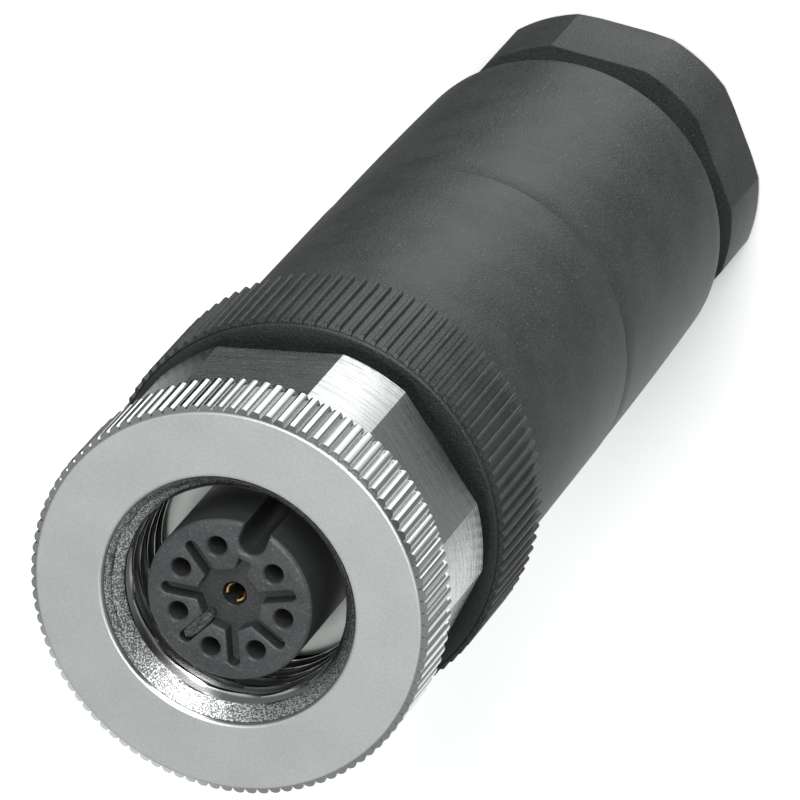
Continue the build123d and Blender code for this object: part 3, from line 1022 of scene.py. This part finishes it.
@dataclass
class SocketContact:
    """Turned contact: socket with two slits in front, square box terminal behind.

    The steps of the tip are a radius and a drop each.
    """

    slit_depth: float = 5.6
    bore_depth: float = 7.5
    box_front_z: float = 36.5
    tube_r: float = 0.57
    bore_r: float = 0.40
    slit_half: float = 42.0
    slit_lag: float = -16.0
    box_half: float = 0.75
    wire_half: float = 0.45
    wire_depth: float = 6.0
    slit_flanks: Pair = (0.95, 0.9)
    bore_cone: float = 0.2
    tip_steps: tuple = ((0.33, 0.3), (0.40, 0.05), (0.48, 0.0), (0.53, 0.06))
    tine_taper: float = 0.6
    columns: int = 48
    sharpness: int = 10

    def square(self, half: float, angle: Array, turn: float) -> Array:
        """Radius of a square with eased corners: a superellipse of a high power."""
        along, across = np.abs(np.cos(angle - turn)), np.abs(np.sin(angle - turn))
        return half * (along**self.sharpness + across**self.sharpness) ** (-1 / self.sharpness)

    def build(self, number: int, place: Pair, turn: float, ends: Pair) -> Piece:
        """Carry the profile from the bore's foot over the tines and the box back to the wire hole's foot.

        Args:
            number: Number of the contact.
            place: Centre in millimetres.
            turn: Angle that the box terminal is turned to.
            ends: Heights of the box terminal's rear end and of the tip.

        Returns:
            The new object.
        """
        rear_z, tip_z = ends
        slit_foot_z = tip_z - self.slit_depth
        slits = turn + np.radians(self.slit_lag) + np.array([0.0, np.pi])
        half = np.radians(self.slit_half)
        middle, inner = self.slit_flanks
        lips = np.concatenate([slits - half, slits + half, slits - half * inner, slits + half * inner])
        shell = TurnedShell(merged_angles(np.linspace(0, FULL_TURN, self.columns, endpoint=False), lips))
        off_slit = np.min(np.abs((shell.angles[:, None] - slits + np.pi) % FULL_TURN - np.pi), 1)
        tip = np.where(off_slit < half * middle, slit_foot_z, tip_z)
        box = self.square(self.box_half, shell.angles, turn)
        hole = self.square(self.wire_half, shell.angles, turn)
        hole_foot = rear_z + self.wire_depth
        bore_foot = tip_z - self.bore_depth
        shell.to(0.0, bore_foot - self.bore_cone)
        shell.to(self.bore_r, bore_foot)
        shell.through(*((radius, tip - drop) for radius, drop in self.tip_steps))
        shell.through(
            (self.tube_r, slit_foot_z - self.tine_taper), (self.tube_r, self.box_front_z),
            (box, self.box_front_z, 0.05), (box, rear_z, 0.08), (hole, rear_z, 0.05), (hole, hole_foot),
            (0.0, hole_foot),
        )
        return shell.build(f"socket_contact_{number}", crease=34.0, closed=False, centre=place)


def direction(azimuth: float, elevation: float) -> Vector:
    """Unit vector towards an azimuth and an elevation in degrees."""
    around, above = np.radians([azimuth, elevation])
    return Vector((np.cos(above) * np.cos(around), np.cos(above) * np.sin(around), np.sin(above)))


@dataclass(frozen=True)
class Card:
    """Soft bright or dark patch of the studio, as seen from the object."""

    azimuth: float
    elevation: float
    width: float
    strength: float


@dataclass(frozen=True)
class Lamp:
    """Square soft light that points at the object."""

    name: str
    azimuth: float
    elevation: float
    distance: float
    size: float
    power: float

    def place(self, aim: Vector) -> None:
        """Make the light, at its distance in metres from the aim."""
        light = bpy.data.lights.new(self.name, "AREA")
        light.shape = "SQUARE"
        light.size = self.size
        light.energy = self.power
        lamp = bpy.data.objects.new(self.name, light)
        towards = direction(self.azimuth, self.elevation)
        lamp.location = aim + towards * self.distance
        lamp.rotation_mode = "QUATERNION"
        lamp.rotation_quaternion = towards.to_track_quat("Z", "Y")
        bpy.context.scene.collection.objects.link(lamp)


@dataclass
class Studio:
    """Pale floor, soft lights, surroundings and camera."""

    floor_half: float = 3.0
    base: float = 0.55
    below: float = 0.30
    horizon: float = 0.2
    card_core: float = 0.45
    sky: tuple = (0.97, 0.985, 1.0, 1.0)
    cards: tuple[Card, ...] = (
        Card(73, 60, 55, -0.16), Card(-81, -60, 23, 0.90), Card(-62, -60, 20, 0.95),
        Card(-144, -60, 24, -0.08), Card(156, -60, 20, 0.16), Card(118, -60, 20, 0.75),
        Card(5, -60, 30, -0.28), Card(66, -60, 22, 0.46), Card(-106, 70, 36, -0.52), Card(73, 10, 20, 0.90),
    )
    lamps: tuple[Lamp, ...] = (
        Lamp("key_light", -84.0, 44.0, 0.45, 0.22, 1.35),
        Lamp("mouth_light", -106.0, 86.0, 0.45, 0.10, 0.85),
    )

    def surroundings(self) -> None:
        """Even grey surroundings, darker below the horizon, with soft cards added by direction."""
        world = bpy.data.worlds.new("studio")
        world.use_nodes = True
        bpy.context.scene.world = world
        graph = Graph(world.node_tree)
        towards = graph.add("ShaderNodeTexCoord", output="Generated")
        height = graph.add("ShaderNodeSeparateXYZ", {0: towards}, output="Z")
        strength = height.rise(-self.horizon, self.horizon) * (self.base - self.below) + self.below
        for card in self.cards:
            values = {0: towards, 1: direction(card.azimuth, card.elevation)}
            cosine = graph.add("ShaderNodeVectorMath", values, "Value", operation="DOT_PRODUCT")
            edge = float(np.cos(np.radians(card.width)))
            core = float(np.cos(np.radians(card.width * self.card_core)))
            strength = strength + cosine.rise(edge, core) * card.strength
        shader = graph.add("ShaderNodeBackground", {"Color": self.sky, "Strength": strength})
        graph.add("ShaderNodeOutputWorld", {"Surface": shader})

    def floor(self) -> None:
        """Flat floor under the connector, which metal doesn't mirror."""
        corners = np.array([(-1, -1, 0), (1, -1, 0), (1, 1, 0), (-1, 1, 0)], float)
        plane = write_mesh("floor", corners * self.floor_half * MM_PER_METRE, [[0, 1, 2, 3]], 30.0)
        plane.data.materials.append(PaleFloor().make())
        plane.visible_glossy = False
        plane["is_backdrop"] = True

    def build(self, aim: Vector) -> None:
        """Make the studio round an aim point in metres."""
        self.surroundings()
        self.floor()
        for lamp in self.lamps:
            lamp.place(aim)


@dataclass(frozen=True)
class PhotoCamera:
    """Long lens that looks down on the socket face from the photograph's side."""

    azimuth: float = -16.36
    elevation: float = 60.29
    roll: float = 220.82
    lens: float = 520.0
    pixels_per_mm: float = 20.29
    aim_right: float = -1.183
    aim_up: float = -1.273
    sensor: float = 36.0
    frame_pixels: int = 800
    near: float = 0.01
    far: float = 20.0

    def place(self, centre: Vector) -> None:
        """Stand the camera where the frame shows its number of pixels for each millimetre."""
        azimuth, elevation, roll = np.radians([self.azimuth, self.elevation, self.roll])
        level_part = np.cos(elevation)
        back = Vector((np.sin(azimuth) * level_part, -np.cos(azimuth) * level_part, np.sin(elevation)))
        level = Vector((0, 0, 1)).cross(back).normalized()
        upright = back.cross(level)
        right = level * np.cos(roll) + upright * np.sin(roll)
        up = upright * np.cos(roll) - level * np.sin(roll)
        distance = self.lens / self.sensor * self.frame_pixels / self.pixels_per_mm * METRES_PER_MM
        aim = centre + (right * self.aim_right + up * self.aim_up) * METRES_PER_MM
        data = bpy.data.cameras.new("photo_camera")
        data.lens = self.lens
        data.sensor_width = self.sensor
        data.clip_start = self.near
        data.clip_end = self.far
        camera = bpy.data.objects.new("photo_camera", data)
        turn = Matrix((right, up, back)).transposed().to_4x4()
        camera.matrix_world = Matrix.Translation(aim + back * distance) @ turn
        bpy.context.scene.collection.objects.link(camera)
        bpy.context.scene.camera = camera


@dataclass
class Finishes:
    """Materials of the connector, one for each slot of the record."""

    by_slot: dict = field(default_factory=dict)

    def make(self) -> None:
        """Make each material once."""
        finishes = {
            Slot.NICKEL: TurnedNickel(),
            # Painted shade on the grip ring's front face and collar, which lie in the nut's shadow.
            Slot.BLACK: MouldedPlastic(
                "black_plastic", (0.040, 0.044, 0.0435), painted_shade_low_z=46.5, painted_shade_high_z=52.0, painted_shade_strength=0.6
            ),
            # Painted shade below the insert's face: pocket, arms, ways and nose side.
            Slot.INSERT: MouldedPlastic(
                "insert_grey", (0.043, 0.047, 0.0475), 0.42, 0.12, 0.014, 0.3, 0.8,
                painted_shade_low_z=44.0, painted_shade_high_z=57.12, painted_shade_strength=0.32,
            ),
            Slot.CAGE: MouldedPlastic("cage_dark", (0.040, 0.041, 0.041), 0.38, 0.2, 0.002, 0.06, 0.1),
            Slot.GOLD: PlainMetal("gold_plate", (0.92, 0.62, 0.24), 0.16),
            Slot.SPRING: PlainMetal("spring_steel_plain", (0.72, 0.75, 0.71), 0.5),
            Slot.ZINC: PlainMetal("zinc_plate", (0.66, 0.67, 0.69), 0.3),
            Slot.RUBBER: MouldedPlastic("rubber_black", (0.022, 0.022, 0.023), 0.7, 0.1, 0.004, 0.1, 0.1),
        }
        self.by_slot = {slot: finish.make() for slot, finish in finishes.items()}

    def dress_nodes(self, frame: dict) -> None:
        """Give every node of the frame the material of its slot."""
        for row in frame["record"]["subparts"]:
            node = frame["nodes"][row["node"]]
            node.data.materials.clear()
            node.data.materials.append(self.by_slot[Slot(row["material_slot"])])
            log.info("%s takes %s", row["node"], row["material_slot"])


@dataclass
class Connector:
    """Whole connector: makes each new piece and puts it in place of its solids."""

    finishes: Finishes

    def put(self, piece: Piece, body: Body, slot: Slot, *nodes: str) -> None:
        """Dress a new piece, unless it is dressed, and put it on its body in place of its solids."""
        if not piece.data.materials:
            piece.data.materials.append(self.finishes.by_slot[slot])
        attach(piece, body.value)
        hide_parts(*nodes)
        log.info("%s rides on %s and stands for %s", piece.name, body.value, ", ".join(nodes))

    def build(self) -> None:
        """Make the pieces from the socket face to the cable clamp."""
        insert = ContactInsert()
        self.put(CouplingNut().build(), Body.NUT, Slot.NICKEL, "coupling_nut")
        self.put(GripRing().build(), Body.CARRIER, Slot.BLACK, "contact_carrier")
        self.put(SleeveShell().build(), Body.SLEEVE, Slot.BLACK, "sleeve")
        self.put(PressureScrew().build(), Body.SCREW, Slot.BLACK, "pressure_screw")
        self.put(insert.build(), Body.CARRIER, Slot.INSERT, "contact_insert")
        stub = MouldingStub().build()
        torn = MouldedPlastic("torn_grey", (0.052, 0.056, 0.056), 0.6, 0.12, 0.05, 0.5, 2.5)
        stub.data.materials.append(torn.make())
        self.put(stub, Body.CARRIER, Slot.INSERT, "contact_insert")
        turns = [*insert.way_angles(), KEY_ANGLE]
        for number, (place, turn) in enumerate(zip(insert.way_places(), turns), start=1):
            node = f"contact_{number}"
            ends = tuple(corner.z * MM_PER_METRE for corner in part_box(node))
            self.put(SocketContact().build(number, place, turn, ends), Body.CARRIER, Slot.GOLD, node)


def box_list() -> list[list[float]]:
    """Lowest and highest corner of the shown object as plain numbers."""
    return [list(corner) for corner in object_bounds()]


def main() -> None:
    """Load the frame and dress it."""
    logging.basicConfig(level=logging.INFO, format="%(name)s: %(message)s")
    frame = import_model()
    cad_box = box_list()
    finishes = Finishes()
    finishes.make()
    finishes.dress_nodes(frame)
    Connector(finishes).build()
    low, high = cad_box
    centre = Vector(((low[0] + high[0]) / 2, (low[1] + high[1]) / 2, high[2] / 2))
    Studio().build(centre)
    PhotoCamera().place(centre)
    bpy.context.scene.view_settings.view_transform = "Standard"


if __name__ == "__main__":
    main()
